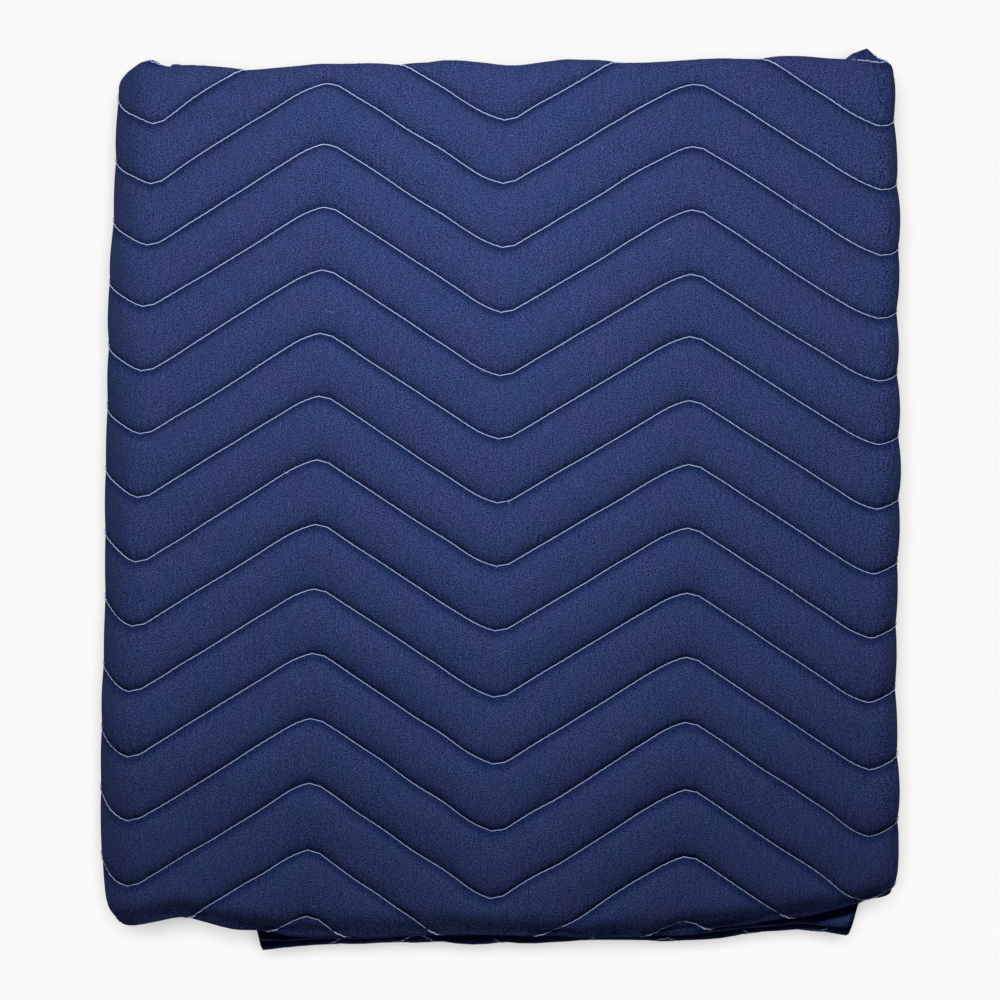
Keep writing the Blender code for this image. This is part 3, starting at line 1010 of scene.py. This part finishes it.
def add_loops(tubes):
    """Small loops of thread that stand up from the stitch rows."""
    for number in range(LOOPS):
        rows_down = math.floor(random_between(*LOOP_ROWS, number, LOOP_ROW))
        straight = random_between(*LOOP_PLACES, number, LOOP_PLACE)
        along, row = zigzag_place(straight, rows_down)
        turned = random_between(0.0, math.tau, number, LOOP_HEADING)
        radius = random_between(*LOOP_RADII, number, LOOP_SIZE)
        line = []
        for piece in range(FIBRE_PIECES + 1):
            angle = LOOP_ANGLE * piece / FIBRE_PIECES
            forward = radius * math.sin(angle)
            beside = radius * (1.0 - math.cos(angle))
            line.append((
                along + forward * math.cos(turned) - beside * math.sin(turned),
                row + forward * math.sin(turned) + beside * math.cos(turned),
                LOOP_FOOT + pad_height(along, row) + LOOP_RISE * beside,
            ))
        tubes.add(line, LOOP_THREAD_RADIUS)


def add_lint(tubes):
    """Short curled fibres lying on the cloth."""
    for number in range(LINT_FIBRES):
        along = random_between(TOP_RUN_START, RIGHT_TURN_START, number, LINT_ALONG)
        row = random_between(TOP_PLY_START, FRONT_TURN_START, number, LINT_ROW)
        heading = random_between(0.0, math.tau, number, LINT_HEADING)
        bend = random_between(-LINT_BEND, LINT_BEND, number, LINT_CURL)
        step = random_between(*LINT_LENGTHS, number, LINT_REACH) / FIBRE_PIECES
        line = []
        for _ in range(FIBRE_PIECES + 1):
            line.append((along, row, pad_height(along, row) + 2.0 * LINT_RADIUS))
            along += step * math.cos(heading)
            row += step * math.sin(heading)
            heading += bend / FIBRE_PIECES
        tubes.add(line, LINT_RADIUS)


def make_thread():
    """The quilting thread, wherever it shows."""
    tubes = Tubes(THREAD_SIDES)
    left = zigzag_position(0.0, FRONT_TURN_END)[0]
    right = zigzag_position(SHEET_WIDTH, BACK_TURN_START)[0]
    for rows_down in ZIGZAG_ROWS:
        lines = row_lines(rows_down, ZIGZAG[0].across, ZIGZAG[-1].across, on_shown_face)
        lines += row_lines(rows_down, left, right, on_lower_fold)
        for line in lines:
            tubes.add(line, THREAD_RADIUS)
    return tubes.finished("quilting_thread")


def make_loose_fibres():
    """Thread loops and lint."""
    tubes = Tubes(THREAD_SIDES)
    add_loops(tubes)
    add_lint(tubes)
    return tubes.finished("loose_fibres")


def new_material(name, roughness, specular):
    """A material of even roughness and gloss, with its node tree and shader."""
    material = bpy.data.materials.new(name)
    material.use_nodes = True
    shader = material.node_tree.nodes["Principled BSDF"]
    shader.inputs["Roughness"].default_value = roughness
    shader.inputs["Specular IOR Level"].default_value = specular
    return material, material.node_tree, shader


def node(tree, kind, output, inputs, **settings):
    """Adds a shader node, sets or links its inputs, and returns one of its outputs."""
    made = tree.nodes.new("ShaderNode" + kind)
    for name, value in settings.items():
        setattr(made, name, value)
    for name, value in inputs.items():
        if isinstance(value, bpy.types.NodeSocket):
            tree.links.new(value, made.inputs[name])
        else:
            made.inputs[name].default_value = value
    return made.outputs[output]


def noise_at(tree, uv_name, width, height, detail=FINE_DETAIL):
    """Noise between 0 and 1, with patches about so wide and high on a UV map."""
    places = node(tree, "UVMap", "UV", {}, uv_map=uv_name)
    scale = (1.0 / width, 1.0 / height, 0.0)
    scaled = node(tree, "VectorMath", "Vector", {0: places, 1: scale}, operation="MULTIPLY")
    inputs = {"Vector": scaled, "Scale": 1.0, "Detail": detail}
    return node(tree, "TexNoise", "Fac", inputs, noise_dimensions="2D")


def calculate(tree, operation, first, second=0.0):
    """A sum, product or the like of two sockets, or of a socket and a number."""
    return node(tree, "Math", "Value", {0: first, 1: second}, operation=operation)


def stretched(tree, value, low, high, new_low=0.0, new_high=1.0):
    """A value between low and high, spread smoothly over another range."""
    inputs = {"Value": value, "From Min": low, "From Max": high, "To Min": new_low, "To Max": new_high}
    return node(tree, "MapRange", "Result", inputs, interpolation_type="SMOOTHSTEP")


def mixed(tree, factor, first, second, blend_type="MIX"):
    """A mixture of two colours."""
    inputs = {"Factor": factor, "A": first, "B": second}
    return node(tree, "Mix", "Result", inputs, data_type="RGBA", blend_type=blend_type)


def multiplied(tree, first, second):
    """The product of two colours."""
    return mixed(tree, 1.0, first, second, "MULTIPLY")


def bumped(tree, height, distance, **normal):
    """A normal, or the given Normal, that is tilted by a height between 0 and 1 over a real distance."""
    return node(tree, "Bump", "Normal", {"Height": height, "Distance": distance, **normal})


def navy_cloth():
    """Navy woven cloth, with uneven yarns, painted shade along the stitch rows, and gathers beside them.
    """
    material, tree, shader = new_material("navy_cloth", CLOTH_ROUGHNESS, CLOTH_SPECULAR)
    weft = noise_at(tree, "sheet", YARN_SLUB, YARN_WIDTH)
    warp = noise_at(tree, "sheet", YARN_WIDTH, YARN_SLUB)
    speckle = noise_at(tree, "sheet", SPECKLE_SIZE, SPECKLE_SIZE)
    cloud = noise_at(tree, "sheet", CLOUD_SIZE, CLOUD_SIZE, CLOUD_DETAIL)
    streaks = noise_at(tree, "sheet", STREAK_WIDTH, STREAK_LENGTH)
    gathers = noise_at(tree, "zigzag", GATHER_WIDTH, 1.0 / GATHERS_PER_ROW, GATHER_DETAIL)
    weave = calculate(tree, "MULTIPLY", calculate(tree, "ADD", weft, warp), 0.5)
    woven_share = calculate(tree, "MULTIPLY", weave, WEAVE_SHARE)
    grain = calculate(tree, "ADD", woven_share, calculate(tree, "MULTIPLY", speckle, 1.0 - WEAVE_SHARE))
    navy = mixed(tree, stretched(tree, grain, *GRAIN_RANGE), NAVY_DARK, NAVY_LIGHT)
    tint = mixed(tree, stretched(tree, cloud, *CLOUD_RANGE), BLUER_TINT, REDDER_TINT)
    # Painted shade: darker, bluer colour from each stitch row to a little way in front of it
    from_seam = stretched(tree, row_distance(tree, SEAM_SHADE_MIDDLE), 0.0, SEAM_SHADE_REACH)
    tint = multiplied(tree, tint, mixed(tree, from_seam, SEAM_PAINTED_SHADE, NO_PAINTED_SHADE))
    shade = stretched(tree, streaks, *STREAK_RANGE, STREAK_LOW, STREAK_HIGH)
    shaded = multiplied(tree, multiplied(tree, navy, tint), shade)
    tree.links.new(shaded, shader.inputs["Base Color"])
    shader.inputs["Sheen Weight"].default_value = CLOTH_SHEEN
    shader.inputs["Sheen Roughness"].default_value = CLOTH_SHEEN_ROUGHNESS
    shader.inputs["Sheen Tint"].default_value = CLOTH_SHEEN_TINT
    near_row = stretched(tree, row_distance(tree, 0.0), 0.0, GATHER_REACH, 1.0, 0.0)
    gathers = calculate(tree, "MULTIPLY", gathers, near_row)
    woven = bumped(tree, grain, GRAIN_BUMP)
    tree.links.new(bumped(tree, gathers, GATHER_BUMP, Normal=woven), shader.inputs["Normal"])
    return material


def row_distance(tree, ahead):
    """The distance from the nearest stitch row, or from some way in front of it, in row spacings."""
    places = node(tree, "UVMap", "UV", {}, uv_map="zigzag")
    rows_down = node(tree, "SeparateXYZ", "Y", {"Vector": places})
    moved = calculate(tree, "ADD", rows_down, 0.5 - ahead)
    share = calculate(tree, "SUBTRACT", calculate(tree, "FRACT", moved), 0.5)
    return calculate(tree, "ABSOLUTE", share)


def white_thread():
    """White twisted thread."""
    material, tree, shader = new_material("white_thread", THREAD_ROUGHNESS, THREAD_SPECULAR)
    twist = noise_at(tree, "thread", TWIST_LENGTH, 1.0 / TWIST_TURNS)
    colour = mixed(tree, stretched(tree, twist, *TWIST_RANGE), THREAD_DARK, THREAD_LIGHT)
    tree.links.new(colour, shader.inputs["Base Color"])
    tree.links.new(bumped(tree, twist, TWIST_BUMP), shader.inputs["Normal"])
    return material


def make_floor():
    """A plain pale floor."""
    mesh = bpy.data.meshes.new("floor")
    half = FLOOR_SIZE / 2
    corners = [(-half, -half, 0.0), (half, -half, 0.0), (half, half, 0.0), (-half, half, 0.0)]
    mesh.from_pydata(corners, [], [(0, 1, 2, 3)])
    material, _, shader = new_material("floor", FLOOR_ROUGHNESS, FLOOR_SPECULAR)
    shader.inputs["Base Color"].default_value = FLOOR_COLOUR
    mesh.materials.append(material)
    floor = add_object("floor", mesh)
    floor.location = (0.0, 0.0, -FLOOR_DROP)
    return floor


def add_light(name, kind, power, lit):
    """A light that the camera doesn't see, and that lights only the given objects."""
    light = add_object(name, bpy.data.lights.new(name, kind))
    light.data.energy = power
    light.visible_camera = False
    receivers = bpy.data.collections.new(name + "_receivers")
    for receiver in lit:
        receivers.objects.link(receiver)
    light.light_linking.receiver_collection = receivers
    return light


def light_scene(pieces, floor):
    """A soft light over the back of the mat, an even one straight down on the floor, and the world."""
    key = add_light("key_light", "AREA", KEY_POWER, pieces)
    key.data.shape = "RECTANGLE"
    key.data.size = KEY_WIDTH
    key.data.size_y = KEY_DEPTH
    key.location = KEY_PLACE
    key.rotation_euler = (Vector(KEY_AIM) - Vector(KEY_PLACE)).to_track_quat("-Z", "Y").to_euler()
    even = add_light("floor_light", "SUN", FLOOR_LIGHT_POWER, [floor])
    even.data.angle = FLOOR_LIGHT_ANGLE
    bpy.context.scene.world = studio_world()
    bpy.context.scene.view_settings.view_transform = "Standard"


def studio_world():
    """A weak even light from all round, behind which the picture itself shows a pale backdrop."""
    world = bpy.data.worlds.new("studio")
    world.use_nodes = True
    tree = world.node_tree
    ambient = tree.nodes["Background"]
    ambient.inputs["Color"].default_value = WORLD_COLOUR
    ambient.inputs["Strength"].default_value = WORLD_STRENGTH
    backdrop = node(tree, "Background", "Background", {"Color": BACKDROP_COLOUR})
    seen = node(tree, "LightPath", "Is Camera Ray", {})
    inputs = {"Fac": seen, 1: ambient.outputs["Background"], 2: backdrop}
    choice = node(tree, "MixShader", "Shader", inputs)
    tree.links.new(choice, tree.nodes["World Output"].inputs["Surface"])
    return world


def make_camera():
    """A camera over the mat, tilted a little towards its front, as in the photograph."""
    data = bpy.data.cameras.new("camera")
    data.sensor_width = SENSOR_WIDTH
    data.lens = SENSOR_WIDTH * FOCAL_PIXELS / FRAME_PIXELS
    camera = add_object("camera", data)
    back = TARGET_Y - CAMERA_DISTANCE * math.sin(CAMERA_TILT)
    camera.location = (0.0, back, TARGET_Z + CAMERA_DISTANCE * math.cos(CAMERA_TILT))
    camera.rotation_euler = (CAMERA_TILT, 0.0, 0.0)
    bpy.context.scene.camera = camera


mat = make_mat()
thread = make_thread()
fibres = make_loose_fibres()
floor = make_floor()
light_scene([mat, thread, fibres], floor)
make_camera()
